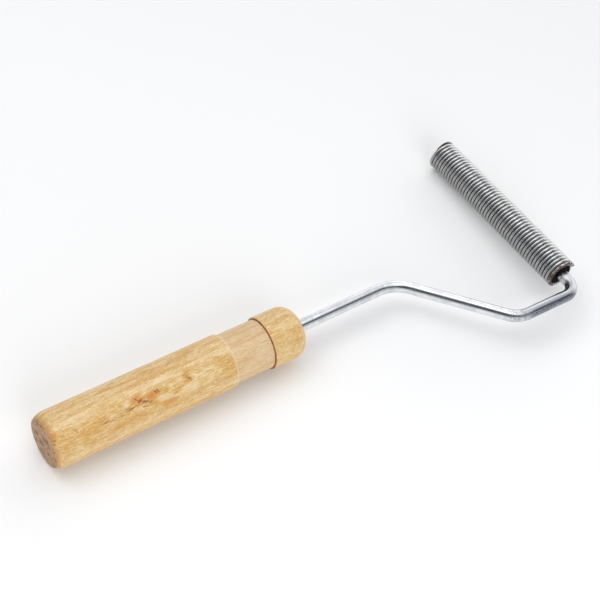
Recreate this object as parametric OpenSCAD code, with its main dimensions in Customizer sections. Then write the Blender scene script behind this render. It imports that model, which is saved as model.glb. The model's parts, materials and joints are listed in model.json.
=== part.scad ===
// Hand roller: a turned wooden handle, one bent wire frame and a close-wound
// coil-spring roller that turns freely on the wire's end.
// Millimetres. The origin is the centre of the handle's flat butt face, +X runs
// along the handle towards the roller, and +Z is up as the tool lies on a bench.

/* [Handle] */
// Length of the wooden handle, butt to nose
handle_len = 130; // [110:1:160]
// Diameter of the straight grip
grip_d = 26; // [22:0.5:32]
// Length of the grip, from the butt to the shoulder
grip_len = 90.5; // [70:0.5:100]
// Diameter of the turned neck behind the nose ring
neck_d = 24.1; // [18:0.1:25]
// Length of the neck
neck_len = 20; // [6:0.5:25]
// Diameter of the nose ring
nose_d = 25.8; // [20:0.1:32]
// Radius of the rounded nose
nose_round = 7.2; // [2:0.1:8]
// Radius of the arc that rounds the butt
butt_round = 7.25; // [3:0.25:10]
// Depth cut off that rounded end to leave the flat butt
butt_trim = 2.25; // [0:0.25:2.75]
// Radius of the shoulder's rounded edge
shoulder_round = 0.9; // [0.3:0.1:1.5]
// Width of the scorched groove at the foot of the nose ring
groove_w = 0.7; // [0.4:0.1:1.5]
// Depth of that groove
groove_depth = 0.35; // [0.1:0.05:0.8]

/* [Frame wire] */
// Diameter of the wire
wire_d = 6; // [4:0.1:8]
// Length of wire driven into the handle
tang_len = 60; // [30:1:80]
// Nose to the corner of the first bend
neck_reach = 57.3; // [35:0.1:90]
// Distance along the handle between the corners of the first two bends
offset_run = 41; // [25:0.5:60]
// Sideways distance between those corners
offset_side = 47.5; // [35:0.5:60]
// Length of the crank arm, corner to corner
crank_len = 38.1; // [30:0.1:60]
// Angle by which the crank arm splays outwards
crank_splay = 1.5; // [0:0.1:5]
// Centre-line radius of the first bend
neck_bend_r = 20; // [8:0.5:24]
// Centre-line radius of the second bend
offset_bend_r = 15; // [8:0.5:18]
// Centre-line radius of the bend into the axle
axle_bend_r = 7.7; // [6:0.1:9]
// Width across the two ears pinched out of the wire
ear_span = 8.2; // [7:0.1:9]
// Thickness of the ears
ear_thick = 1.6; // [1:0.1:3]
// Length of the ears along the axle
ear_len = 2.2; // [1.5:0.1:4]
// Angle of the ears about the axle
ear_turn = 20; // [0:5:45]
// Chamfer on the wire's free end
tip_chamfer = 0.8; // [0.2:0.1:1.5]

/* [Roller spring] */
// Outside diameter of the coil
roller_d = 16.3; // [14:0.1:24]
// Diameter of the spring wire
coil_d = 2; // [1.2:0.1:2.4]
// Gap between neighbouring turns
coil_gap = 0.03; // [0.02:0.01:0.5]
// Number of turns
coil_turns = 48.1; // [20:0.05:60]
// Where the left-hand coil starts at the near end, round from +X toward +Z
coil_start = 35; // [0:5:355]
// Crank arm's centre line to the near end of the spring
roller_offset = 11; // [9.5:0.1:14]

/* [Bushes and retainer] */
// Length of each bush
bush_len = 12; // [6:0.5:20]
// Radial running clearance between a bush and the axle
running_clearance = 0.06; // [0.02:0.01:0.1]
// Edge chamfer on the bushes
bush_chamfer = 0.5; // [0.2:0.1:0.8]
// How far inside the near end the ears stand (outside it when negative)
ear_depth = -0.3; // [-1:0.1:4]
// How far inside the far end the wire stops
tip_recess = 0.6; // [0.2:0.1:3]
// Wire showing past the push nut
tip_show = 1.2; // [0.8:0.1:3]
// Thickness of the retaining washer
washer_thick = 1; // [0.5:0.1:2]
// Height of the dished push nut
nut_height = 1.6; // [1:0.1:2.5]
// Thickness of the push nut's sheet
nut_sheet = 0.6; // [0.4:0.1:0.9]
// Number of teeth in the push nut
nut_teeth = 6; // [4:1:8]
// Width of the slots between the teeth
slot_w = 0.8; // [0.5:0.1:1.2]
// Radial room between the spring and the parts that stand still inside it
inside_room = 0.45; // [0.3:0.05:1]
// End play of the roller at each end
end_play = 0.3; // [0.1:0.05:0.6]

/* [Hidden] */
$fn = 96;
coil_sides = 8;
coil_rings = 12;

// The wire is a hair thicker where it bends, and its straights lap into the bends
bend_swell = 0.01;
bend_lap = 0.2;

grip_r = grip_d / 2;
neck_r = neck_d / 2;
nose_r = nose_d / 2;
wire_r = wire_d / 2;
coil_r = coil_d / 2;
neck_end = grip_len + neck_len;

// Corners of the wire's centre line, in the plane of the frame
tang_end = [handle_len - tang_len, 0];
corner_1 = [handle_len + neck_reach, 0];
corner_2 = corner_1 + [offset_run, -offset_side];
corner_3 = corner_2 + crank_len * [cos(crank_splay), -sin(crank_splay)];
axle_x = corner_3.x;

// Places along the axle
coil_pitch = coil_d + coil_gap;
roller_len = coil_turns * coil_pitch + coil_d;
near_end = corner_3.y + roller_offset;
far_end = near_end + roller_len;
axle_tip = far_end - tip_recess;
ear_place = near_end + ear_depth;
near_bush_start = ear_place + ear_len / 2 + end_play;
nut_start = axle_tip - tip_show - nut_height;
washer_start = nut_start - washer_thick;
far_bush_start = washer_start - end_play - bush_len;

// The coil is faceted across and along its wire. Both its section and its turns
// are drawn a little large, so that it has the round wire's area and length.
coil_mean_r = (roller_d / 2 - coil_r) * (PI / coil_rings) / sin(180 / coil_rings);
facet_r = coil_r * sqrt(2 * PI / (coil_sides * sin(360 / coil_sides)));

// Radii inside the spring
spring_bore_r = coil_mean_r * cos(180 / coil_rings) - facet_r * cos(180 / coil_sides);
bush_bore_r = wire_r + running_clearance;
still_r = spring_bore_r - inside_room;

// The tool lies on the handle's underside and on the last place where the spring
// passes underneath, so the frame leans about the handle's axis by this much
rest_r = max(grip_r, nose_r);
roller_r = roller_d / 2;
past_under = (coil_start + 360 * coil_turns + 90) % 360 / 360;
touch = far_end - coil_r - coil_pitch * past_under;
lean = atan2(roller_r, touch) - asin(rest_r / norm([touch, roller_r]));

function unit(v) = v / norm(v);
function turn_between(u, v) = atan2(u.x * v.y - u.y * v.x, u * v);

// Turns a part drawn in the frame's plane to the way it lies on the bench
module laid() {
    rotate([lean, 0, 0])
        children();
}

// Stands a part drawn about Z on the axle, starting at the given place
module on_axle(start) {
    translate([axle_x, start, 0])
        rotate([-90, 0, 0])
            children();
}

// Half section of a solid disc with both rims rounded
module drum_section(r, low, high, low_round, high_round) {
    translate([0, low])
        square([r - low_round, high - low]);
    translate([0, low])
        square([r - high_round, high - low]);
    translate([0, low + low_round])
        square([r, high - low - low_round - high_round]);
    intersection() {
        translate([r - low_round, low + low_round])
            circle(r = low_round);
        translate([0, low])
            square([r, low_round]);
    }
    intersection() {
        translate([r - high_round, high - high_round])
            circle(r = high_round);
        translate([0, high - high_round])
            square([r, high_round]);
    }
}

module grip_section() {
    intersection() {
        drum_section(grip_r, -butt_trim, grip_len, butt_round, shoulder_round);
        square([grip_r, grip_len]);
    }
}

module handle_section() {
    difference() {
        union() {
            grip_section();
            square([neck_r, neck_end + groove_w]);
            drum_section(nose_r, neck_end, handle_len, groove_w, nose_round);
        }
        translate([neck_r - groove_depth, neck_end - groove_w / 2])
            square([grip_r, groove_w]);
    }
}

module handle() {
    color("burlywood")
        laid()
            difference() {
                rotate([90, 0, 90])
                    rotate_extrude()
                        handle_section();
                translate([tang_end.x, 0, 0])
                    rotate([0, 90, 0])
                        cylinder(h = tang_len + wire_d, r = wire_r);
            }
}

// Straight wire between two points of the frame's plane, lapping into the bends
module straight(from, to) {
    run = to - from;
    translate([from.x, from.y, 0])
        rotate([0, 0, atan2(run.y, run.x)])
            translate([-bend_lap, 0, 0])
                rotate([0, 90, 0])
                    cylinder(h = norm(run) + 2 * bend_lap, r = wire_r);
}

// Distance from a corner to where its bend begins
function set_back(before, corner, after, radius) =
    radius * tan(abs(turn_between(corner - before, after - corner)) / 2);

// Curved wire that rounds one corner
module bend(before, corner, after, radius) {
    along = unit(corner - before);
    turn = turn_between(along, after - corner);
    inward = sign(turn) * [-along.y, along.x];
    start = corner - along * set_back(before, corner, after, radius);
    centre = start + inward * radius;
    start_angle = atan2(-inward.y, -inward.x);
    translate([centre.x, centre.y, 0])
        rotate([0, 0, min(start_angle, start_angle + turn)])
            rotate_extrude(angle = abs(turn))
                translate([radius, 0])
                    circle(r = wire_r + bend_swell);
}

// Straight end of the wire, which the roller turns on
module axle(start) {
    length = axle_tip - start;
    on_axle(start)
        rotate_extrude()
            polygon([
                [0, 0],
                [wire_r, 0],
                [wire_r, length - tip_chamfer],
                [wire_r - tip_chamfer, length],
                [0, length]
            ]);
}

// Ears pinched out of the wire, which keep the roller off the bend
module ears() {
    translate([axle_x, ear_place, 0])
        rotate([0, ear_turn, 0])
            intersection() {
                cylinder(h = ear_thick, r = ear_span / 2, center = true);
                cube([ear_span, ear_len, ear_thick], center = true);
            }
}

module frame_wire() {
    tip = [axle_x, axle_tip];
    back_1 = set_back(tang_end, corner_1, corner_2, neck_bend_r);
    back_2 = set_back(corner_1, corner_2, corner_3, offset_bend_r);
    back_3 = set_back(corner_2, corner_3, tip, axle_bend_r);
    along_2 = unit(corner_2 - corner_1);
    along_3 = unit(corner_3 - corner_2);
    color("silver")
        laid() {
            straight(tang_end + [bend_lap, 0], corner_1 - [back_1, 0]);
            bend(tang_end, corner_1, corner_2, neck_bend_r);
            straight(corner_1 + along_2 * back_1, corner_2 - along_2 * back_2);
            bend(corner_1, corner_2, corner_3, offset_bend_r);
            straight(corner_2 + along_3 * back_2, corner_3 - along_3 * back_3);
            bend(corner_2, corner_3, tip, axle_bend_r);
            axle(corner_3.y + back_3 - bend_lap);
            ears();
        }
}

// One ring of points across the spring wire, at a given turn of the left-hand coil
function coil_ring(turn) = [
    for (side = [0:coil_sides - 1])
        let (
            a = 360 * (side + 0.5) / coil_sides,
            r = coil_mean_r + facet_r * cos(a),
            round_axle = -coil_start - 360 * turn
        )
        [
            r * cos(round_axle),
            r * sin(round_axle),
            coil_r + coil_pitch * turn + facet_r * sin(a)
        ]
];

module roller_spring() {
    steps = round(coil_turns * coil_rings);
    points = [for (i = [0:steps]) each coil_ring(coil_turns * i / steps)];
    walls = [
        for (i = [0:steps - 1], side = [0:coil_sides - 1])
            let (low = i * coil_sides, next = (side + 1) % coil_sides)
            [low + side, low + next, low + coil_sides + next, low + coil_sides + side]
    ];
    first = [for (side = [coil_sides - 1:-1:0]) side];
    last = [for (side = [0:coil_sides - 1]) steps * coil_sides + side];
    color("slategray")
        laid()
            on_axle(near_end)
                polyhedron(points = points, faces = concat(walls, [first, last]));
}

// Plain sleeve that fits the spring's bore and runs on the axle
module bush(start) {
    laid()
        on_axle(start)
            rotate_extrude()
                polygon([
                    [bush_bore_r, 0],
                    [spring_bore_r - bush_chamfer, 0],
                    [spring_bore_r, bush_chamfer],
                    [spring_bore_r, bush_len - bush_chamfer],
                    [spring_bore_r - bush_chamfer, bush_len],
                    [bush_bore_r, bush_len]
                ]);
}

module near_bush() {
    color("dimgray")
        bush(near_bush_start);
}

module far_bush() {
    color("dimgray")
        bush(far_bush_start);
}

module retaining_washer() {
    color("silver")
        laid()
            on_axle(washer_start)
                difference() {
                    cylinder(h = washer_thick, r = still_r);
                    translate([0, 0, -washer_thick])
                        cylinder(h = 3 * washer_thick, r = bush_bore_r);
                }
}

// Dished star-lock nut pushed over the wire's end
module push_nut() {
    color("silver")
        laid()
            on_axle(nut_start)
                difference() {
                    rotate_extrude()
                        polygon([
                            [wire_r, nut_height - nut_sheet],
                            [still_r, 0],
                            [still_r, nut_sheet],
                            [wire_r, nut_height]
                        ]);
                    for (tooth = [0:nut_teeth - 1])
                        rotate([0, 0, 360 * tooth / nut_teeth])
                            translate([0, -slot_w / 2, -nut_height])
                                cube([(wire_r + still_r) / 2, slot_w, 3 * nut_height]);
                }
}

handle();
frame_wire();
roller_spring();
near_bush();
far_bush();
retaining_washer();
push_nut();
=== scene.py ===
import json
import math

import bpy
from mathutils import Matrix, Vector


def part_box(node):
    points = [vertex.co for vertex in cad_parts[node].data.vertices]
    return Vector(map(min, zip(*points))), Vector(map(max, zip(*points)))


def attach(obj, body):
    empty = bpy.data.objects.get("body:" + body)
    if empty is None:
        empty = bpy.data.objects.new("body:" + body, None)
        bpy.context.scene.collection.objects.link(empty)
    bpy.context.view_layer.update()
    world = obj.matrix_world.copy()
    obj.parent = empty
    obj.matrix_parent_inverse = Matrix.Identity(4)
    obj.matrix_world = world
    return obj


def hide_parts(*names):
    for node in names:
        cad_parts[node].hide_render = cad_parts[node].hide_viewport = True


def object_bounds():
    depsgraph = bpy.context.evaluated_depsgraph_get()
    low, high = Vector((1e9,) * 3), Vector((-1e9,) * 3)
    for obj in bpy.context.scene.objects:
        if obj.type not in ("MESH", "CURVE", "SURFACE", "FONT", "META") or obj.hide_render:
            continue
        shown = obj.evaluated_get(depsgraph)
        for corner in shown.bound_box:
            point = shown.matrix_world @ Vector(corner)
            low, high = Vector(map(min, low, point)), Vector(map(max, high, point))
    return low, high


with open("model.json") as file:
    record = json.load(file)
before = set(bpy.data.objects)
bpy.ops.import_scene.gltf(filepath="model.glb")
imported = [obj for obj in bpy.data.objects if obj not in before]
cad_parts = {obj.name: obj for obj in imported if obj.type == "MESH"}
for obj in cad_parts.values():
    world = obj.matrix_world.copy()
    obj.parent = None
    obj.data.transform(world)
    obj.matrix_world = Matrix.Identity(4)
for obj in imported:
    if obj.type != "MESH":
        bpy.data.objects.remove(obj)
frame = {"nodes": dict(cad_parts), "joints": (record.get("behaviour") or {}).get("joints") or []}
cadBox = [list(corner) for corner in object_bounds()]  # the box round the imported parts; the size that the looks may fill
mm = 0.001

# where the roller turns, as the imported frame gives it
spin = frame["joints"][0]
axleDirection = Vector(spin["axis"])
axlePlace = Vector(spin["pos_m"])
lean = math.atan2(axleDirection.z, axleDirection.y)  # the tool lies a little on its side
springPoints = [v.co - axlePlace for v in frame["nodes"]["roller_spring"].data.vertices]
springNear = min(p.dot(axleDirection) for p in springPoints)
springFar = max(p.dot(axleDirection) for p in springPoints)
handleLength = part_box("handle")[1].x


def leaveEditing():
    if bpy.context.object and bpy.context.object.mode != "OBJECT":
        bpy.ops.object.mode_set(mode="OBJECT")
    bpy.ops.object.select_all(action="DESELECT")


def pick(piece):
    leaveEditing()
    piece.select_set(True)
    bpy.context.view_layer.objects.active = piece


def applyPlacement():
    bpy.ops.object.transform_apply(location=True, rotation=True, scale=True)


def combine(piece, tool, operation):
    # joins the tool to the piece or cuts its shape away, and the tool goes
    pick(piece)
    work = piece.modifiers.new("combine", "BOOLEAN")
    work.operation = operation
    work.object = tool
    bpy.ops.object.modifier_apply(modifier=work.name)
    bpy.data.objects.remove(tool)


def startRing(name, radius, place, turned, sides):
    leaveEditing()
    bpy.ops.mesh.primitive_circle_add(vertices=sides, radius=radius, location=place, rotation=turned)
    piece = bpy.context.object
    piece.name = name
    applyPlacement()
    bpy.ops.object.mode_set(mode="EDIT")
    bpy.ops.mesh.select_all(action="SELECT")
    return piece


def pushRing(step):
    bpy.ops.mesh.extrude_region_move(TRANSFORM_OT_translate={"value": step})


def growRing(factor, centre, across=(0, 1, 1)):
    value = tuple(factor if axis else 1 for axis in across)
    bpy.ops.transform.resize(value=value, center_override=centre)


def closeEnds():
    bpy.ops.mesh.select_all(action="DESELECT")
    bpy.ops.mesh.select_mode(type="EDGE")
    bpy.ops.mesh.select_non_manifold()
    bpy.ops.mesh.fill_holes(sides=0)
    bpy.ops.mesh.select_mode(type="VERT")
    bpy.ops.mesh.select_all(action="SELECT")
    bpy.ops.mesh.normals_make_consistent(inside=False)


def lieDown(piece):
    # turns a piece drawn in the frame's own plane to the way it lies on the bench
    pick(piece)
    piece.rotation_euler = (lean, 0, 0)
    applyPlacement()


def smooth(piece, angle):
    pick(piece)
    bpy.ops.object.shade_smooth_by_angle(angle=math.radians(angle))


def arc(centre, radius, start, end, steps):
    # points (along, out) round part of a circle, angles in degrees from straight out
    points = []
    for i in range(steps + 1):
        a = math.radians(start + (end - start) * i / steps)
        points.append((centre[0] + radius * math.sin(a), centre[1] + radius * math.cos(a)))
    return points


def straightRun(start, end, steps, reachEnd=False):
    # points between two places, with the end itself only when asked
    points = []
    for step in range(1, steps + 1 if reachEnd else steps):
        along = start[0] + (end[0] - start[0]) * step / steps
        points.append((along, start[1] + (end[1] - start[1]) * step / steps))
    return points


def startMaterial(name):
    material = bpy.data.materials.new(name)
    material.use_nodes = True
    tree = material.node_tree
    return material, tree, tree.nodes["Principled BSDF"]


def put(tree, kind, sockets=None, **settings):
    made = tree.nodes.new(kind)
    for key, value in settings.items():
        setattr(made, key, value)
    for key, value in (sockets or {}).items():
        if isinstance(value, bpy.types.NodeSocket):
            tree.links.new(value, made.inputs[key])
        else:
            made.inputs[key].default_value = value
    return made


def sums(tree, operation, a, b=0.0, c=0.0):
    return put(tree, "ShaderNodeMath", {0: a, 1: b, 2: c}, operation=operation).outputs[0]


def vectors(tree, operation, a, b=(0.0, 0.0, 0.0)):
    made = put(tree, "ShaderNodeVectorMath", {0: a, 1: b}, operation=operation)
    return made.outputs["Value" if operation in ("LENGTH", "DOT_PRODUCT", "DISTANCE") else "Vector"]


def scaled(tree, vector, factor):
    made = put(tree, "ShaderNodeVectorMath", {0: vector}, operation="SCALE")
    if isinstance(factor, bpy.types.NodeSocket):
        tree.links.new(factor, made.inputs["Scale"])
    else:
        made.inputs["Scale"].default_value = factor
    return made.outputs["Vector"]


def planeMillimetres(tree):
    # object coordinates turned back into the frame's own plane, in millimetres
    place = tree.nodes.new("ShaderNodeTexCoord")
    turned = put(tree, "ShaderNodeMapping", {"Vector": place.outputs["Object"], "Rotation": (-lean, 0, 0)})
    return scaled(tree, turned.outputs["Vector"], 1 / mm)


def stretched(tree, vector, scale):
    return vectors(tree, "MULTIPLY", vector, scale)


def product(tree, a, b):
    return sums(tree, "MULTIPLY", a, b)


def noise(tree, vector, scale=1.0, detail=3.0, rough=0.5, distortion=0.0):
    sockets = {"Vector": vector, "Scale": scale, "Detail": detail}
    sockets.update({"Roughness": rough, "Distortion": distortion})
    return put(tree, "ShaderNodeTexNoise", sockets).outputs["Fac"]


def shaken(tree, vector, reach, scale=1.0, detail=3.0, rough=0.5):
    # a soft random push to one side or the other, for coordinates
    sockets = {"Vector": vector, "Scale": scale, "Detail": detail, "Roughness": rough}
    drawn = put(tree, "ShaderNodeTexNoise", sockets).outputs["Color"]
    return scaled(tree, vectors(tree, "SUBTRACT", drawn, (0.5, 0.5, 0.5)), reach)


def band(tree, value, low, high, start=0.0, end=1.0):
    sockets = {"Value": value, "From Min": low, "From Max": high, "To Min": start, "To Max": end}
    return put(tree, "ShaderNodeMapRange", sockets, interpolation_type="SMOOTHSTEP").outputs["Result"]


def blend(tree, factor, a, b):
    made = put(tree, "ShaderNodeMix", data_type="RGBA")
    for index, value in ((0, factor), (6, a), (7, b)):
        if isinstance(value, bpy.types.NodeSocket):
            tree.links.new(value, made.inputs[index])
        else:
            made.inputs[index].default_value = value
    return made.outputs[2]


def ramp(tree, value, stops):
    made = put(tree, "ShaderNodeValToRGB", {"Fac": value})
    points = made.color_ramp.elements
    while len(points) < len(stops):
        points.new(0.5)
    for point, (place, colour) in zip(points, stops):
        point.position = place
        point.color = colour
    return made.outputs["Color"]


def bump(tree, height, distance, strength):
    sockets = {"Height": height, "Distance": distance, "Strength": strength}
    return put(tree, "ShaderNodeBump", sockets).outputs["Normal"]


def dress(piece, material):
    piece.data.materials.clear()
    piece.data.materials.append(material)


handleSettings = {
    "gripRadius": 12.99 * mm, "gripLength": 90.5 * mm, "shoulderRound": 0.9 * mm,
    "shoulderTurn": 85, "buttRound": 7.25 * mm, "buttTrim": 2.25 * mm,
    "neckRadius": 12.05 * mm, "neckLength": 20 * mm, "neckStep": 0.25 * mm, "neckFlare": 0.02 * mm,
    "noseRadius": 12.9 * mm, "noseRound": 7.2 * mm,
    "grooveWidth": 0.7 * mm, "grooveDepth": 0.35 * mm, "ringTurn": 70,
    "boreRadius": 3.02 * mm, "boreDepth": 60 * mm, "boreRim": 0.35 * mm, "boreCentre": 0.3,
    "sides": 192,
}


def handleProfile(s):
    # (along the handle, out from its axis), from the middle of the butt to the end of the bore
    grip, neck, nose = s["gripRadius"], s["neckRadius"], s["noseRadius"]
    run = s["buttRound"] - s["buttTrim"]
    flat = grip - s["buttRound"] + math.sqrt(s["buttRound"] ** 2 - run ** 2)
    points = straightRun((0, 0), (0, flat), 30)
    startAngle = -math.degrees(math.asin(run / s["buttRound"]))
    points += arc((run, grip - s["buttRound"]), s["buttRound"], startAngle, 0, 14)
    shoulder = s["gripLength"] - s["shoulderRound"]
    points += straightRun((run, grip), (shoulder, grip), 40)
    points += arc((shoulder, grip - s["shoulderRound"]), s["shoulderRound"], 0, s["shoulderTurn"], 8)

    neckStart = s["gripLength"] + s["neckStep"]
    groove = s["gripLength"] + s["neckLength"]
    points += [(neckStart, neck + s["neckFlare"])]
    points += straightRun((neckStart, neck), (groove - s["grooveWidth"] / 2, neck), 10, reachEnd=True)
    points += [(groove - s["grooveWidth"] * 0.2, neck - s["grooveDepth"] * 0.9)]
    points += [(groove + s["grooveWidth"] * 0.2, neck - s["grooveDepth"])]
    points += [(groove + s["grooveWidth"] * 0.3, neck)]
    ring = groove + s["grooveWidth"]
    points += arc((ring, nose - s["grooveWidth"]), s["grooveWidth"], -s["ringTurn"], 0, 5)

    noseStart = handleLength - s["noseRound"]
    face = nose - s["noseRound"]
    points += straightRun((ring, nose), (noseStart, nose), 10)
    points += arc((noseStart, face), s["noseRound"], 0, 90, 20)
    rim = s["boreRadius"] + s["boreRim"]
    boreEnd = handleLength - s["boreDepth"]
    points += straightRun((handleLength, face), (handleLength, rim), 8, reachEnd=True)
    points += [(handleLength - s["boreRim"] * 0.4, s["boreRadius"] + s["boreRim"] * 0.3)]
    points += [(handleLength - s["boreRim"], s["boreRadius"])]
    points += straightRun((handleLength, s["boreRadius"]), (boreEnd, s["boreRadius"]), 6, reachEnd=True)
    points += [(boreEnd, s["boreRadius"] * s["boreCentre"])]
    return points


def buildHandle(s):
    profile = handleProfile(s)
    at, out = profile[0]
    piece = startRing("turned_handle", out, (at, 0, 0), (0, math.pi / 2, 0), s["sides"])
    for along, radius in profile[1:]:
        pushRing((along - at, 0, 0))
        growRing(radius / out, (along, 0, 0))
        at, out = along, radius
    closeEnds()
    lieDown(piece)
    smooth(piece, 40)
    dress(piece, woodMaterial(s))
    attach(piece, "frame")
    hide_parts("handle")
    print("handle turned")


woodSettings = {
    "cream": (0.76, 0.61, 0.37, 1), "straw": (0.67, 0.46, 0.20, 1), "honey": (0.56, 0.29, 0.06, 1),
    "paleMark": (0.82, 0.68, 0.44, 1), "orangeMark": (0.57, 0.24, 0.045, 1),
    "blueMark": (0.26, 0.28, 0.26, 1), "crackMark": (0.23, 0.065, 0.025, 1),
    "grooveLine": (0.32, 0.085, 0.022, 1), "edgeBrown": (0.46, 0.21, 0.058, 1),
    "neckGrey": (0.60, 0.45, 0.33, 1), "endLight": (0.54, 0.33, 0.18, 1),
    "endDark": (0.20, 0.095, 0.045, 1), "endPit": (0.05, 0.028, 0.018, 1),
    # how much of each layer goes into the tone, and the tones that are cream and honey
    "weights": (("patches", 0.38), ("streaks", 0.26), ("rings", 0.10), ("fibre", 1.05), ("dashes", 0.55),
                ("mottle", 0.75)),
    "creamTone": 1.24, "honeyTone": 1.80, "fleckCover": 0.45,
    "ringsPerMillimetre": 0.36, "pith": (0, 26, -22), "wander": 3.0, "shake": 1.7,
    # the grain runs round these: place, reach, how strongly
    "knots": (
        ((48.5, -7.0, 10.9), 6.0, 1.0), ((67.4, -7.1, 10.8), 3.4, 0.8), ((12.0, -7.6, 10.5), 4.0, 0.35),
    ),
    "knotPull": 0.8, "knotAt": (47.5, 125), "knotLong": 0.42, "curlTurns": 4.2, "curlReach": 5.2,
    "curlCover": 0.34, "paleCover": 0.62, "neckCover": 0.34, "grooveLineCover": 0.85, "shoulderHighlightCover": 0.45,
    "buttCover": 0.78, "noseCover": 0.40, "coat": 0.15, "coatRough": 0.35, "relief": 0.14 * mm,
    # marks on the grip: millimetres along, degrees round from +Y, half length, half width, turn, strength
    "pale": (
        (46.0, 111, 3.2, 0.9, -35, 0.7), (53.5, 103, 6.5, 1.2, -14, 0.7),
        (60.7, 107, 5.0, 1.0, 14, 0.6), (53.9, 139, 4.5, 1.6, 8, 0.7), (65.6, 141, 5.5, 2.2, 0, 0.6),
        (41.8, 137, 2.5, 0.8, 0, 0.8), (69.6, 121, 1.4, 0.8, 40, 0.9), (45.0, 126, 1.1, 0.5, 0, 0.8),
        (16.0, 105, 9.0, 2.2, 0, 0.4),
    ),
    "orange": (
        (48.4, 123, 3.6, 2.0, -10, 0.95), (41.2, 121, 4.2, 2.6, 15, 0.8),
        (45.2, 130, 5.0, 1.8, 12, 0.6), (55.6, 151, 5.0, 1.5, 4, 0.75), (52.4, 87, 9.5, 2.4, 0, 0.45),
        (44.9, 92, 7.5, 1.8, 0, 0.4), (31.4, 154, 5.5, 0.55, 2, 0.6), (26.2, 172, 3.5, 1.8, 0, 0.5),
        (66.7, 112, 3.0, 0.7, -14, 0.7), (64.0, 131, 4.5, 0.6, -14, 0.45), (5.4, 124, 1.1, 0.9, 0, 0.6),
        (11.4, 125, 1.5, 0.5, 60, 0.6), (14.6, 131, 1.6, 0.6, -50, 0.6), (1.8, 117, 2.0, 1.6, 0, 0.8),
        (8.6, 131, 1.6, 0.4, 30, 0.5), (62.5, 80, 5.0, 0.9, 0, 0.35),
    ),
    "blue": (
        (35.6, 62, 1.8, 0.55, 6, 0.7), (35.9, 129, 2.0, 0.4, 0, 0.45), (62.3, 77, 1.2, 0.4, 0, 0.5),
    ),
    "crack": (
        (41.2, 121, 1.7, 0.34, 55, 1.0), (42.4, 125, 1.2, 0.38, -35, 1.0),
        (44.9, 130, 1.5, 0.38, 22, 1.0), (47.0, 134, 1.1, 0.32, -12, 0.9),
        (43.2, 128, 0.8, 0.26, 70, 0.9), (46.1, 129, 0.7, 0.26, -60, 0.8),
        (50.4, 121, 1.0, 0.30, 75, 0.9), (51.6, 120, 1.1, 0.32, 78, 0.9),
        (38.0, 131, 2.4, 0.26, -8, 0.8), (31.1, 136, 6.5, 0.22, 1, 0.5),
        (25.0, 135, 2.2, 0.36, -12, 0.5), (43.6, 137, 1.5, 0.28, 10, 0.6),
        (67.0, 124, 1.3, 0.55, 48, 0.7), (66.0, 120, 1.1, 0.35, -30, 0.5),
        (1.8, 127, 0.7, 0.4, 30, 0.9), (1.3, 133, 0.7, 0.4, 20, 0.9), (11.9, 127, 0.9, 0.25, 70, 0.6),
    ),
    # pits in the sawn end: millimetres across (+Y) and up (+Z), half length, half width, turn, strength
    "pits": (
        (5.6, 1.2, 1.5, 1.1, 20, 1.0), (-2.2, 4.8, 2.6, 0.7, -5, 0.9), (-4.9, -1.4, 1.0, 0.7, 30, 0.9),
        (2.2, -6.3, 0.9, 0.6, 0, 0.7), (1.2, -1.0, 2.2, 1.3, 25, 0.6), (-6.8, 3.2, 1.8, 0.4, 70, 0.5),
    ),
}


def gaussian(tree, distance, width):
    ratio = sums(tree, "DIVIDE", distance, width)
    bellBase = 2.718  # near enough e
    return sums(tree, "POWER", bellBase, product(tree, product(tree, ratio, ratio), -1.0))


def marksMask(tree, surface, marks):
    # the strongest of several soft edged ovals lying on a surface
    mask = None
    for along, across, halfLength, halfWidth, turn, strength in marks:
        sockets = {"Vector": surface, "Location": (along, across, 0)}
        sockets.update({"Rotation": (0, 0, math.radians(turn)), "Scale": (halfLength, halfWidth, 1)})
        local = put(tree, "ShaderNodeMapping", sockets, vector_type="TEXTURE").outputs["Vector"]
        oval = band(tree, vectors(tree, "LENGTH", local), 1.25, 0.45, 0.0, strength)
        mask = oval if mask is None else sums(tree, "MAXIMUM", mask, oval)
    return mask


def bendGrain(tree, straight):
    # the grain runs round the knots and wanders a little
    w = woodSettings
    grain = straight
    for place, reach, strength in w["knots"]:
        away = vectors(tree, "SUBTRACT", straight, place)
        near = gaussian(tree, vectors(tree, "LENGTH", stretched(tree, away, (0.4, 1, 1))), reach)
        pull = product(tree, near, -w["knotPull"] * strength)
        grain = vectors(tree, "ADD", grain, scaled(tree, away, pull))
    wander = shaken(tree, stretched(tree, grain, (0.03, 0.09, 0.09)), w["wander"], detail=2.0)
    return vectors(tree, "ADD", grain, wander)


def woodLayers(tree, straight, grain):
    # growth rings about a pith outside the handle, fine fibres and dashes, and broad patches
    w = woodSettings
    fromPith = stretched(tree, vectors(tree, "SUBTRACT", grain, w["pith"]), (0.0, 1, 1))
    rings = sums(tree, "FRACT", product(tree, vectors(tree, "LENGTH", fromPith), w["ringsPerMillimetre"]))
    narrow = stretched(tree, grain, (0.05, 0.5, 0.5))
    broad = stretched(tree, grain, (0.07, 0.17, 0.17))
    return {
        "rings": band(tree, rings, 0.3, 1.0),
        "fibre": noise(tree, stretched(tree, grain, (0.11, 2.6, 2.6)), detail=4, rough=0.75),
        "dashes": noise(tree, stretched(tree, grain, (0.30, 3.0, 3.0)), detail=3, rough=0.65),
        "streaks": noise(tree, narrow, detail=4, rough=0.6, distortion=0.5),
        "patches": noise(tree, broad, detail=3, rough=0.55, distortion=1.2),
        "mottle": noise(tree, stretched(tree, straight, (0.8, 2.2, 2.2)), detail=3, rough=0.7),
    }


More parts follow.
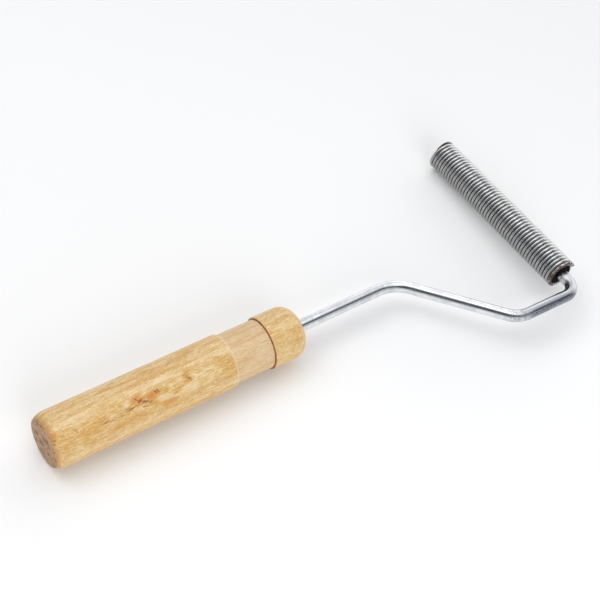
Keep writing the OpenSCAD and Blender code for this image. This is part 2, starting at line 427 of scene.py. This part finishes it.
def grainColour(tree, layers):
    w = woodSettings
    tone = 0.0
    for layer, weight in w["weights"]:
        tone = sums(tree, "MULTIPLY_ADD", layers[layer], weight, tone)
    tone = band(tree, tone, w["creamTone"], w["honeyTone"])
    colour = ramp(tree, tone, [(0.0, w["cream"]), (0.5, w["straw"]), (1.0, w["honey"])])
    flecks = band(tree, layers["dashes"], 0.56, 0.70)
    return blend(tree, product(tree, flecks, w["fleckCover"]), colour, w["orangeMark"])


def gripMarks(tree, colour, surface, mottle, gripRadius):
    # the main knot's rings drawn out along the handle, then pale, orange and blue marks and splits
    w = woodSettings
    masks = {}
    for kind in ("pale", "orange", "blue", "crack"):
        placed = [(m[0], math.radians(m[1]) * gripRadius) + m[2:] for m in w[kind]]
        masks[kind] = marksMask(tree, surface, placed)
    knotPlace = (w["knotAt"][0], math.radians(w["knotAt"][1]) * gripRadius, 0)
    fromKnot = stretched(tree, vectors(tree, "SUBTRACT", surface, knotPlace), (w["knotLong"], 1, 1))
    knotReach = vectors(tree, "LENGTH", fromKnot)
    curls = sums(tree, "SINE", product(tree, knotReach, w["curlTurns"]))
    curls = product(tree, band(tree, curls, 0.1, 0.9), band(tree, knotReach, w["curlReach"], 1.5))
    colour = blend(tree, product(tree, curls, w["curlCover"]), colour, w["orangeMark"])
    broken = band(tree, mottle, 0.30, 0.55, 0.55, 1.0)
    paleCover = product(tree, product(tree, masks["pale"], broken), w["paleCover"])
    colour = blend(tree, paleCover, colour, w["paleMark"])
    colour = blend(tree, product(tree, masks["orange"], broken), colour, w["orangeMark"])
    colour = blend(tree, masks["blue"], colour, w["blueMark"])
    splits = product(tree, masks["crack"], band(tree, mottle, 0.36, 0.50, 0.45, 1.0))
    return blend(tree, splits, colour, w["crackMark"]), masks["crack"]


def neckAndRims(tree, colour, straight, along, s):
    # a neck rubbed grey by the fingers, a dark red-brown line along the groove, a painted highlight along
    # the shoulder's edge and browned rims
    w = woodSettings
    neckStart = s["gripLength"] / mm
    neckEnd = neckStart + s["neckLength"] / mm
    neck = product(tree, band(tree, along, neckStart - 0.1, neckStart + 0.4),
                   band(tree, along, neckEnd + 0.3, neckEnd - 0.3))
    colour = blend(tree, product(tree, neck, w["neckCover"]), colour, w["neckGrey"])
    ragged = product(tree, noise(tree, straight, 0.55, detail=3), 0.30)
    # a dark red-brown line along the groove
    fromGroove = sums(tree, "ABSOLUTE", sums(tree, "SUBTRACT", along, neckEnd + 0.05))
    grooveLine = band(tree, sums(tree, "ADD", fromGroove, ragged), 0.47, 0.20)
    colour = blend(tree, product(tree, grooveLine, w["grooveLineCover"]), colour, w["grooveLine"])
    # painted highlight: a pale line along the shoulder's edge
    fromShoulder = sums(tree, "ABSOLUTE", sums(tree, "SUBTRACT", along, neckStart - 0.2))
    shoulder = band(tree, fromShoulder, 0.9, 0.3, 0.0, w["shoulderHighlightCover"])
    colour = blend(tree, shoulder, colour, w["paleMark"])
    rimNoise = product(tree, noise(tree, straight, 0.35, detail=4, rough=0.6), 2.2)
    buttRim = band(tree, sums(tree, "ADD", along, rimNoise), 4.3, 1.7)
    colour = blend(tree, product(tree, buttRim, w["buttCover"]), colour, w["edgeBrown"])
    noseEnd = handleLength / mm
    noseRim = band(tree, sums(tree, "SUBTRACT", along, rimNoise), noseEnd - 3.6, noseEnd - 0.5)
    return blend(tree, product(tree, noseRim, w["noseCover"]), colour, w["edgeBrown"])


def sawnEnd(tree, colour, straight, parts, shake):
    # darker end grain with a few pits in it
    w = woodSettings
    endGrain = noise(tree, straight, 0.45, detail=5, rough=0.75, distortion=1.2)
    endTone = blend(tree, band(tree, endGrain, 0.35, 0.62), w["endDark"], w["endLight"])
    endPlace = put(tree, "ShaderNodeCombineXYZ", {"X": parts.outputs["Y"], "Y": parts.outputs["Z"]})
    endSurface = vectors(tree, "ADD", endPlace.outputs["Vector"], scaled(tree, shake, 0.6))
    pits = marksMask(tree, endSurface, w["pits"])
    endTone = blend(tree, pits, endTone, w["endPit"])
    sawn = band(tree, parts.outputs["X"], 0.9, 0.15)
    return blend(tree, sawn, colour, endTone), sawn, pits


def woodMaterial(s):
    w = woodSettings
    gripRadius = s["gripRadius"] / mm
    material, tree, shader = startMaterial("turned_wood")
    straight = planeMillimetres(tree)
    parts = put(tree, "ShaderNodeSeparateXYZ", {"Vector": straight})
    along = parts.outputs["X"]
    layers = woodLayers(tree, straight, bendGrain(tree, straight))
    fibre = layers["fibre"]
    mottle = layers["mottle"]

    # the handle's surface unrolled: millimetres along it and round it
    turned = sums(tree, "ARCTAN2", parts.outputs["Z"], parts.outputs["Y"])
    around = product(tree, turned, gripRadius)
    surface = put(tree, "ShaderNodeCombineXYZ", {"X": along, "Y": around}).outputs["Vector"]
    shake = shaken(tree, straight, w["shake"], scale=0.85, rough=0.7)
    surface = vectors(tree, "ADD", surface, shake)

    colour = grainColour(tree, layers)
    colour, cracks = gripMarks(tree, colour, surface, mottle, gripRadius)
    colour = neckAndRims(tree, colour, straight, along, s)
    colour, sawn, pits = sawnEnd(tree, colour, straight, parts, shake)
    tree.links.new(colour, shader.inputs["Base Color"])

    rough = band(tree, sums(tree, "ADD", fibre, mottle), 0.7, 1.3, 0.42, 0.58)
    rough = sums(tree, "MULTIPLY_ADD", sawn, 0.3, rough)
    tree.links.new(rough, shader.inputs["Roughness"])
    shader.inputs["Coat Weight"].default_value = w["coat"]
    shader.inputs["Coat Roughness"].default_value = w["coatRough"]
    relief = sums(tree, "MULTIPLY_ADD", fibre, 0.5, product(tree, mottle, 0.5))
    relief = sums(tree, "SUBTRACT", relief, product(tree, cracks, 2.5))
    relief = sums(tree, "SUBTRACT", relief, product(tree, product(tree, sawn, pits), 4.0))
    tree.links.new(bump(tree, relief, w["relief"], 0.7), shader.inputs["Normal"])
    return material


wireSettings = {
    "radius": 3 * mm, "tangLength": 60 * mm, "neckReach": 57.3 * mm, "offsetRun": 41 * mm,
    "offsetSide": 47.5 * mm, "crankLength": 38.1 * mm, "crankSplay": 1.5,
    "bendRadii": (20 * mm, 15 * mm, 7.7 * mm), "tipRecess": 0.6 * mm, "tipChamfer": 0.8 * mm,
    "earDepth": -0.3 * mm, "earSpan": 8.2 * mm, "earLength": 2.2 * mm, "earThick": 1.6 * mm,
    "earRound": 0.5 * mm, "earTurn": 20, "earSteps": 5, "tipDimple": 0.01 * mm, "tipCentre": 0.2,
    "sides": 48, "bendSteps": 22, "stepLength": 6 * mm, "axleSteps": 20,
}


def wireCorners(s):
    first = Vector((handleLength + s["neckReach"], 0, 0))
    second = first + Vector((s["offsetRun"], -s["offsetSide"], 0))
    splay = math.radians(s["crankSplay"])
    third = second + s["crankLength"] * Vector((math.cos(splay), -math.sin(splay), 0))
    start = Vector((handleLength - s["tangLength"], 0, 0))
    tip = Vector((third.x, springFar - s["tipRecess"], 0))
    return [start, first, second, third, tip]


def buildFrameWire(s):
    corners = wireCorners(s)
    at = corners[0]
    piece = startRing("bent_wire", s["radius"], at, (0, math.pi / 2, 0), s["sides"])
    for before, corner, after, radius in zip(corners, corners[1:], corners[2:], s["bendRadii"]):
        comingIn = (corner - before).normalized()
        goingOut = (after - corner).normalized()
        turn = math.atan2(comingIn.cross(goingOut).z, comingIn.dot(goingOut))
        setBack = radius * math.tan(abs(turn) / 2)
        bendStart = corner - comingIn * setBack
        runLength = (bendStart - at).length
        steps = max(2, round(runLength / s["stepLength"]))
        for _ in range(steps):
            pushRing(comingIn * runLength / steps)
        inward = Vector((-comingIn.y, comingIn.x, 0)) * (1 if turn > 0 else -1)
        middle = bendStart + inward * radius
        turnAxis = (0, 0, -1 if turn > 0 else 1)
        bpy.ops.mesh.spin(steps=s["bendSteps"], angle=abs(turn), center=middle, axis=turnAxis)
        at = corner + goingOut * setBack
    along = (corners[4] - corners[3]).normalized()
    straight = corners[4].y - s["tipChamfer"] - at.y
    for _ in range(s["axleSteps"]):
        pushRing(along * straight / s["axleSteps"])
    tip = corners[4]
    pushRing(along * s["tipChamfer"])
    growRing(1 - s["tipChamfer"] / s["radius"], tip, (1, 0, 1))
    pushRing(along * s["tipDimple"])
    growRing(s["tipCentre"], tip, (1, 0, 1))
    closeEnds()
    leaveEditing()
    return piece


def addEars(wire, s):
    # two ears pinched out of the wire at the roller's mouth
    axleX = wireCorners(s)[3].x
    place = Vector((axleX, springNear + s["earDepth"], 0))
    leaveEditing()
    bpy.ops.mesh.primitive_cube_add(size=1, location=place, rotation=(0, math.radians(s["earTurn"]), 0))
    ears = bpy.context.object
    ears.scale = (s["earSpan"], s["earLength"], s["earThick"])
    bpy.ops.object.transform_apply(location=False, rotation=False, scale=True)
    bpy.ops.object.mode_set(mode="EDIT")
    bpy.ops.mesh.select_all(action="SELECT")
    bpy.ops.mesh.bevel(offset=s["earRound"], segments=s["earSteps"], affect="EDGES")
    bpy.ops.object.mode_set(mode="OBJECT")
    applyPlacement()
    combine(wire, ears, "UNION")


def finishWire(s):
    wire = buildFrameWire(s)
    addEars(wire, s)
    lieDown(wire)
    smooth(wire, 35)
    dress(wire, zincMaterial())
    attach(wire, "frame")
    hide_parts("frame_wire")
    print("frame wire bent")


zincSettings = {
    "bright": (0.86, 0.875, 0.90, 1), "grey": (0.66, 0.68, 0.71, 1), "scuff": (0.34, 0.35, 0.37, 1),
    "paintedReflection": (0.11, 0.13, 0.17, 1), "crankFrom": 230.0, "crankTo": 266.0, "crankLine": -50.9,
    "bendWear": 9.0, "dull": (0.36, 0.375, 0.41, 1), "dullFrom": 226.0, "dullCover": 0.55,
    "roughFrom": 256.0, "wearCover": 0.65, "scratchCover": 0.5, "relief": 0.06 * mm,
}


def crankDarkReflection(tree, place, fine):
    # a painted dark reflection: a mottled line along the outer side of the crank arm, clear of its
    # underside
    z = zincSettings
    parts = put(tree, "ShaderNodeSeparateXYZ", {"Vector": place})
    along = product(tree, band(tree, parts.outputs["X"], z["crankFrom"], z["crankFrom"] + 6),
                    band(tree, parts.outputs["X"], z["crankTo"], z["crankTo"] - 4))
    off = sums(tree, "ABSOLUTE", sums(tree, "SUBTRACT", parts.outputs["Y"], z["crankLine"]))
    across = band(tree, off, 1.3, 0.7)
    upper = band(tree, parts.outputs["Z"], -0.6, 0.3)
    mottled = band(tree, fine, 0.38, 0.58, 0.35, 0.95)
    return product(tree, product(tree, along, across), product(tree, upper, mottled))


def zincMaterial():
    z = zincSettings
    material, tree, shader = startMaterial("bright_zinc")
    place = planeMillimetres(tree)
    clouds = noise(tree, place, 0.16, detail=4, rough=0.6, distortion=0.6)
    fine = noise(tree, place, 1.7, detail=4, rough=0.65)
    tone = band(tree, sums(tree, "MULTIPLY_ADD", clouds, 0.7, product(tree, fine, 0.3)), 0.36, 0.66)
    colour = blend(tree, tone, z["grey"], z["bright"])
    scratches = noise(tree, stretched(tree, place, (0.9, 2.8, 2.8)), detail=3, rough=0.5, distortion=1.2)
    scratches = band(tree, scratches, 0.66, 0.74)
    colour = blend(tree, product(tree, scratches, z["scratchCover"]), colour, z["scuff"])
    parts = put(tree, "ShaderNodeSeparateXYZ", {"Vector": place})
    dulled = band(tree, parts.outputs["X"], z["dullFrom"], z["dullFrom"] + 14, 0.0, z["dullCover"])
    colour = blend(tree, dulled, colour, z["dull"])
    # painted dark reflection along the outer side of the crank arm
    colour = blend(tree, crankDarkReflection(tree, place, fine), colour, z["paintedReflection"])
    bendAt = wireCorners(wireSettings)[2] / mm
    fromBend = vectors(tree, "DISTANCE", place, tuple(bendAt))
    pitted = band(tree, noise(tree, place, 1.1, detail=4, rough=0.75), 0.46, 0.56)
    worn = product(tree, band(tree, fromBend, z["bendWear"], z["bendWear"] * 0.4), pitted)
    colour = blend(tree, product(tree, worn, z["wearCover"]), colour, z["scuff"])
    tree.links.new(colour, shader.inputs["Base Color"])
    shader.inputs["Metallic"].default_value = 1.0
    byRoller = band(tree, parts.outputs["X"], z["roughFrom"], z["roughFrom"] + 6, 0.0, 0.08)
    rough = sums(tree, "ADD", band(tree, clouds, 0.35, 0.65, 0.24, 0.13), byRoller)
    rough = sums(tree, "MULTIPLY_ADD", worn, 0.3, rough)
    tree.links.new(rough, shader.inputs["Roughness"])
    relief = sums(tree, "MULTIPLY_ADD", fine, 0.5, product(tree, clouds, 0.8))
    tree.links.new(bump(tree, relief, z["relief"], 0.4), shader.inputs["Normal"])
    return material


springSettings = {
    "outerRadius": 8.14 * mm, "wireRadius": 0.96 * mm, "pitch": 2.03 * mm, "extraTurn": 0.26,
    "stepsPerTurn": 64, "sides": 16, "weld": 0.01 * mm, "nearEndAngle": 35,
    # the far end is ground back by groundAt, and the stone leans by groundTilt
    "groundAt": 1.09 * mm, "groundTilt": 0.095, "stoneSize": 30 * mm,
    # each step of the rounded cut: its share of cutRound and how far the wire shrinks
    "cutRound": 0.35 * mm, "cutSteps": ((1.0, 0.86), (0.6, 0.55)),
}


def roundCutEnd(coil, coilRadius, s):
    # takes the sharp edge off the wire where the near end was cut
    bpy.ops.mesh.select_all(action="DESELECT")
    bpy.ops.mesh.select_mode(type="FACE")
    bpy.ops.object.mode_set(mode="OBJECT")
    cut = Vector((coilRadius, 0, 0))
    for face in coil.data.polygons:  # only the two end faces have more than four corners
        face.select = len(face.vertices) > 4 and (face.center - cut).length < s["wireRadius"]
    bpy.ops.object.mode_set(mode="EDIT")
    for share, shrink in s["cutSteps"]:
        pushRing((0, s["cutRound"] * share, 0))
        growRing(shrink, cut, (1, 0, 1))
    bpy.ops.mesh.select_mode(type="VERT")


def grindFarEnd(coil, length, s):
    # the far end is ground flat, a little out of square
    leaveEditing()
    side = math.radians(s["nearEndAngle"])
    tilt = s["groundTilt"]
    outOfSquare = Vector((-tilt * math.cos(side), -tilt * math.sin(side), 1)).normalized()
    flat = Vector((0, 0, length - s["wireRadius"] - s["groundAt"]))
    middle = flat + outOfSquare * s["stoneSize"] / 2
    turned = outOfSquare.to_track_quat("Z", "Y").to_euler()
    bpy.ops.mesh.primitive_cube_add(size=s["stoneSize"], location=middle, rotation=turned)
    combine(coil, bpy.context.object, "DIFFERENCE")


def buildSpring(s):
    axleX = wireCorners(wireSettings)[3].x
    length = springFar - springNear
    turns = (length - 2 * s["wireRadius"]) / s["pitch"] + s["extraTurn"]
    coilRadius = s["outerRadius"] - s["wireRadius"]
    # a ring across the spring wire, swept round and along by the screw
    coil = startRing("coil_spring", s["wireRadius"], (coilRadius, 0, 0), (math.pi / 2, 0, 0), s["sides"])
    pick(coil)
    sweep = coil.modifiers.new("wind", "SCREW")
    sweep.axis = "Z"
    sweep.angle = -turns * math.tau
    sweep.screw_offset = turns * s["pitch"]
    sweep.steps = round(turns * s["stepsPerTurn"])
    sweep.render_steps = sweep.steps
    bpy.ops.object.modifier_apply(modifier=sweep.name)
    bpy.ops.object.mode_set(mode="EDIT")
    bpy.ops.mesh.select_all(action="SELECT")
    bpy.ops.mesh.remove_doubles(threshold=s["weld"])
    closeEnds()
    roundCutEnd(coil, coilRadius, s)
    grindFarEnd(coil, length, s)
    # lies along the axle, with its cut end turned by nearEndAngle
    pick(coil)
    coil.rotation_euler = (-math.pi / 2, 0, 0)
    applyPlacement()
    coil.rotation_euler = (0, -math.radians(s["nearEndAngle"]), 0)
    applyPlacement()
    coil.location = (axleX, springNear + s["wireRadius"], 0)
    applyPlacement()
    lieDown(coil)
    smooth(coil, 40)
    dress(coil, springMaterial(s, axleX))
    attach(coil, "roller")
    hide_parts("roller_spring")
    print("spring wound")


steelSettings = {
    # the darkest steel colour is painted shade, laid between the turns and on the side facing the handle
    "bright": (0.70, 0.70, 0.70, 1), "grey": (0.47, 0.47, 0.47, 1), "paintedShade": (0.036, 0.036, 0.037, 1),
    "rust": (0.12, 0.024, 0.011, 1), "rustDark": (0.022, 0.010, 0.008, 1),
    "tarnish": (0.085, 0.070, 0.062, 1), "creviceShadeSide": (-0.90, 0, 0.45), "shadedSide": (-0.98, 0, 0.17),
    "creviceShadeCover": 0.95, "dullCover": 0.45, "tarnishCover": 0.85, "rustReach": 2.6 * mm, "relief": 0.05 * mm,
}


def springMaterial(s, axleX):
    c = steelSettings
    material, tree, shader = startMaterial("spring_steel")
    place = planeMillimetres(tree)
    local = vectors(tree, "SUBTRACT", place, (axleX / mm, 0, 0))
    along = put(tree, "ShaderNodeSeparateXYZ", {"Vector": local}).outputs["Y"]
    radial = vectors(tree, "LENGTH", stretched(tree, local, (1, 0, 1)))
    clouds = noise(tree, local, 0.25, detail=4, rough=0.6, distortion=0.5)
    fine = noise(tree, stretched(tree, local, (0.8, 3.5, 0.8)), detail=4, rough=0.6)
    tone = band(tree, sums(tree, "MULTIPLY_ADD", clouds, 0.5, product(tree, fine, 0.5)), 0.34, 0.64)
    colour = blend(tree, tone, c["grey"], c["bright"])
    outer = s["outerRadius"] / mm
    creviceShade = band(tree, radial, outer - 0.25, outer - 0.78)  # painted shade where the turns meet
    outward = vectors(tree, "NORMALIZE", stretched(tree, local, (1, 0, 1)))
    toCreviceShadeSide = vectors(tree, "DOT_PRODUCT", outward, c["creviceShadeSide"])
    creviceShadeSideMask = band(tree, toCreviceShadeSide, -0.10, 0.45, 0.0, c["creviceShadeCover"])
    # painted shade: the side of the coil facing the handle is darkened
    toShadedSide = vectors(tree, "DOT_PRODUCT", outward, c["shadedSide"])
    dull = band(tree, toShadedSide, 0.55, 0.95, 0.0, c["dullCover"])
    colour = blend(tree, dull, colour, c["paintedShade"])
    # painted shade between the turns, on the side facing the handle
    colour = blend(tree, product(tree, creviceShade, creviceShadeSideMask), colour, c["paintedShade"])
    ragged = product(tree, sums(tree, "SUBTRACT", clouds, 0.5), 3.0)
    nearEnd = springNear / mm
    rustEnd = (springNear + c["rustReach"]) / mm
    nearRust = band(tree, sums(tree, "ADD", along, ragged), rustEnd, nearEnd + 1.3)
    farEnd = springFar / mm
    farTarnish = band(tree, sums(tree, "MULTIPLY_ADD", ragged, 0.4, along), farEnd - 2.3, farEnd - 1.9)
    speckle = band(tree, noise(tree, local, 1.1, detail=3, rough=0.7), 0.55, 0.49)
    colour = blend(tree, product(tree, farTarnish, c["tarnishCover"]), colour, c["tarnish"])
    blotches = band(tree, noise(tree, local, 0.7, detail=3, rough=0.6), 0.44, 0.58)
    rustColour = blend(tree, blotches, c["rustDark"], c["rust"])
    rustCover = product(tree, nearRust, speckle)
    colour = blend(tree, rustCover, colour, rustColour)
    tree.links.new(colour, shader.inputs["Base Color"])
    tree.links.new(sums(tree, "SUBTRACT", 1.0, rustCover), shader.inputs["Metallic"])
    rough = band(tree, fine, 0.35, 0.65, 0.12, 0.20)
    rough = sums(tree, "MULTIPLY_ADD", rustCover, 0.45, rough)
    tree.links.new(rough, shader.inputs["Roughness"])
    relief = sums(tree, "MULTIPLY_ADD", fine, 0.5, product(tree, rustCover, 0.6))
    tree.links.new(bump(tree, relief, c["relief"], 0.5), shader.inputs["Normal"])
    return material


nylonSettings = {
    "black": (0.003, 0.003, 0.003, 1), "worn": (0.008, 0.008, 0.008, 1), "rustDust": 0.8, "shine": 0.06,
    "relief": 0.03 * mm,
}


def plasticMaterial():
    n = nylonSettings
    material, tree, shader = startMaterial("black_nylon")
    place = planeMillimetres(tree)
    fromAxle = vectors(tree, "SUBTRACT", place, (wireCorners(wireSettings)[3].x / mm, 0, 0))
    outer = (springSettings["outerRadius"] - 2 * springSettings["wireRadius"]) / mm
    radial = vectors(tree, "LENGTH", stretched(tree, fromAxle, (1, 0, 1)))
    dust = band(tree, radial, outer - 1.3, outer - 0.3)
    clouds = noise(tree, place, 0.5, detail=4, rough=0.6)
    grit = noise(tree, place, 6.0, detail=3, rough=0.6)
    colour = ramp(tree, clouds, [(0.35, n["black"]), (0.7, n["worn"])])
    dust = product(tree, dust, band(tree, clouds, 0.44, 0.60, 0.0, n["rustDust"]))
    colour = blend(tree, dust, colour, steelSettings["rust"])
    tree.links.new(colour, shader.inputs["Base Color"])
    tree.links.new(band(tree, grit, 0.3, 0.7, 0.70, 0.85), shader.inputs["Roughness"])
    shader.inputs["Specular IOR Level"].default_value = n["shine"]
    tree.links.new(bump(tree, grit, n["relief"], 0.5), shader.inputs["Normal"])
    return material


pressedSteelSettings = {
    "grey": (0.26, 0.26, 0.27, 1), "bright": (0.60, 0.60, 0.61, 1), "smooth": 0.28, "rough": 0.45,
    "relief": 0.04 * mm,
}


def pressedSteelMaterial():
    p = pressedSteelSettings
    material, tree, shader = startMaterial("pressed_steel")
    place = planeMillimetres(tree)
    clouds = noise(tree, place, 0.7, detail=4, rough=0.6, distortion=0.4)
    grit = noise(tree, stretched(tree, place, (1, 3, 1)), 2.0, detail=3, rough=0.6)
    colour = ramp(tree, clouds, [(0.3, p["grey"]), (0.7, p["bright"])])
    tree.links.new(colour, shader.inputs["Base Color"])
    shader.inputs["Metallic"].default_value = 1.0
    tree.links.new(band(tree, grit, 0.3, 0.7, p["smooth"], p["rough"]), shader.inputs["Roughness"])
    tree.links.new(bump(tree, grit, p["relief"], 0.5), shader.inputs["Normal"])
    return material


def dressInside():
    # the bushes, washer and push nut keep their CAD shapes
    nylon = plasticMaterial()
    steel = pressedSteelMaterial()
    for name in ("near_bush", "far_bush"):
        dress(frame["nodes"][name], nylon)
    for name in ("retaining_washer", "push_nut"):
        dress(frame["nodes"][name], steel)
    print("inside parts dressed")


studioSettings = {
    "floorSize": 8, "floorColour": (0.90, 0.90, 0.90, 1), "floorTint": 0.985, "floorRough": 0.9,
    "softbox": (1.5, 1.5, 1.5, 1), "tent": (0.65, 0.665, 0.69, 1), "opening": (0.09, 0.095, 0.11, 1),
    # each side of the tent that is lighter or darker, and where its soft edge starts and ends
    "softboxSide": (-0.20, 0.20, 0.96), "softboxEdge": (0.70, 0.84),
    "wallSide": (0.91, 0.40, 0.10), "wallEdge": (0.70, 0.86),
    "cameraSide": (-0.44, -0.49, 0.75), "cameraEdge": (0.86, 0.93),
    "darkBack": (-0.30, 0.92, 0.22), "backEdge": (0.80, 0.93), "backCover": 0.8, "tentStrength": 1.0,
    # name, place, size and power of each lamp
    "lamps": (
        ("key light", (-0.25, 0.40, 0.80), 0.5, 1.2), ("front light", (-0.05, -0.85, 0.45), 0.7, 4.4),
    ),
    "aim": (0.13, 0.0, 0.0), "lens": 78.8, "sensor": 36, "nearLimit": 0.01,
    "cameraPlace": (-133.6 * mm, -251.4 * mm, 491.3 * mm), "cameraTurn": (36.78, -9.29, -33.93),
}


def lightTent(s):
    # a large softbox overhead, pale walls and a dark gap at the open front of the tent
    world = bpy.data.worlds.new("studio")
    bpy.context.scene.world = world
    world.use_nodes = True
    tree = world.node_tree
    background = tree.nodes["Background"]
    place = tree.nodes.new("ShaderNodeTexCoord").outputs["Generated"]
    parts = put(tree, "ShaderNodeSeparateXYZ", {"Vector": place})
    height = parts.outputs["Z"]
    toWall = vectors(tree, "DOT_PRODUCT", place, s["wallSide"])
    toSoftbox = vectors(tree, "DOT_PRODUCT", place, s["softboxSide"])
    overhead = band(tree, toSoftbox, *s["softboxEdge"])
    bright = sums(tree, "MAXIMUM", overhead, band(tree, toWall, *s["wallEdge"]))
    colour = blend(tree, bright, s["tent"], s["softbox"])
    gap = product(tree, band(tree, height, 0.40, 0.64), band(tree, height, 0.84, 0.80))
    gap = product(tree, gap, band(tree, parts.outputs["Y"], -0.08, -0.25))
    toCamera = band(tree, vectors(tree, "DOT_PRODUCT", place, s["cameraSide"]), *s["cameraEdge"])
    toBack = vectors(tree, "DOT_PRODUCT", place, s["darkBack"])
    back = band(tree, toBack, *s["backEdge"], 0.0, s["backCover"])
    dark = sums(tree, "MAXIMUM", sums(tree, "MAXIMUM", gap, toCamera), back)
    colour = blend(tree, dark, colour, s["opening"])
    tree.links.new(colour, background.inputs["Color"])
    background.inputs["Strength"].default_value = s["tentStrength"]


def buildStudio(s):
    leaveEditing()
    bpy.ops.mesh.primitive_plane_add(size=s["floorSize"], location=(s["aim"][0], 0, cadBox[0][2]))
    floor = bpy.context.object
    floor.name = "floor"
    material, tree, shader = startMaterial("pale_floor")
    place = tree.nodes.new("ShaderNodeTexCoord").outputs["Object"]
    tint = noise(tree, place, 3.0, detail=2)
    tinted = tuple(v * s["floorTint"] for v in s["floorColour"][:3]) + (1,)
    colour = blend(tree, tint, s["floorColour"], tinted)
    tree.links.new(colour, shader.inputs["Base Color"])
    shader.inputs["Roughness"].default_value = s["floorRough"]
    dress(floor, material)
    lightTent(s)
    bpy.context.scene.view_settings.view_transform = "Standard"
    for name, at, size, power in s["lamps"]:
        bpy.ops.object.light_add(type="AREA", location=at)
        lamp = bpy.context.object
        lamp.name = name
        lamp.data.size = size
        lamp.data.energy = power
        lamp.visible_glossy = False  # the tent alone shows in the metal
        lamp.rotation_euler = (Vector(s["aim"]) - Vector(at)).to_track_quat("-Z", "Y").to_euler()
    cameraTurn = [math.radians(a) for a in s["cameraTurn"]]
    bpy.ops.object.camera_add(location=s["cameraPlace"], rotation=cameraTurn)
    camera = bpy.context.object
    camera.data.lens = s["lens"]
    camera.data.sensor_width = s["sensor"]
    camera.data.clip_start = s["nearLimit"]
    bpy.context.scene.camera = camera
    print("studio set")


buildHandle(handleSettings)
finishWire(wireSettings)
buildSpring(springSettings)
dressInside()
buildStudio(studioSettings)
